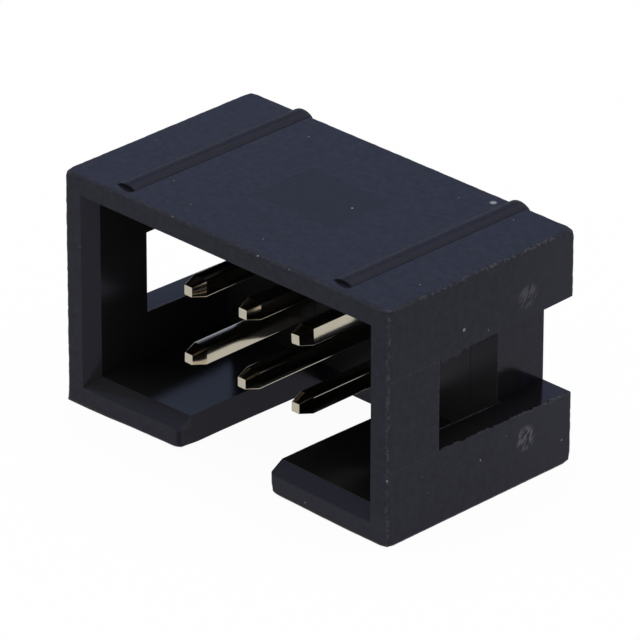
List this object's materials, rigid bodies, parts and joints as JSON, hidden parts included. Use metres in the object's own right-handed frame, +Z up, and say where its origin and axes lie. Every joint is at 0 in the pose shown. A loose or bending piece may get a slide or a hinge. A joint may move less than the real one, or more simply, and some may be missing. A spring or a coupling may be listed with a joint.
{
  "type": "shrouded pin header",
  "caption": "Straight through-hole shrouded pin header for a ribbon cable socket: dark moulded box with a key slot and open end windows around square gold-finished contacts.",
  "frame": {"origin": "under the middle of the part, tails included, on the surface that it lies on", "axes": "+X along the contact columns, +Y from the mouth to the solder tails, +Z up from the keyed wall that it lies on"},
  "size_m": [0.0152, 0.0118, 0.0089],
  "materials": {
    "housing_plastic": "fine matte moulded thermoplastic, blue-black",
    "contact_metal": "pale gold flash over copper alloy"
  },
  "bodies": {
    "root": {"housing": "housing_plastic", "contact_1": "contact_metal", "contact_2": "contact_metal", "contact_3": "contact_metal", "contact_4": "contact_metal", "contact_5": "contact_metal", "contact_6": "contact_metal"}
  },
  "joints": []
}
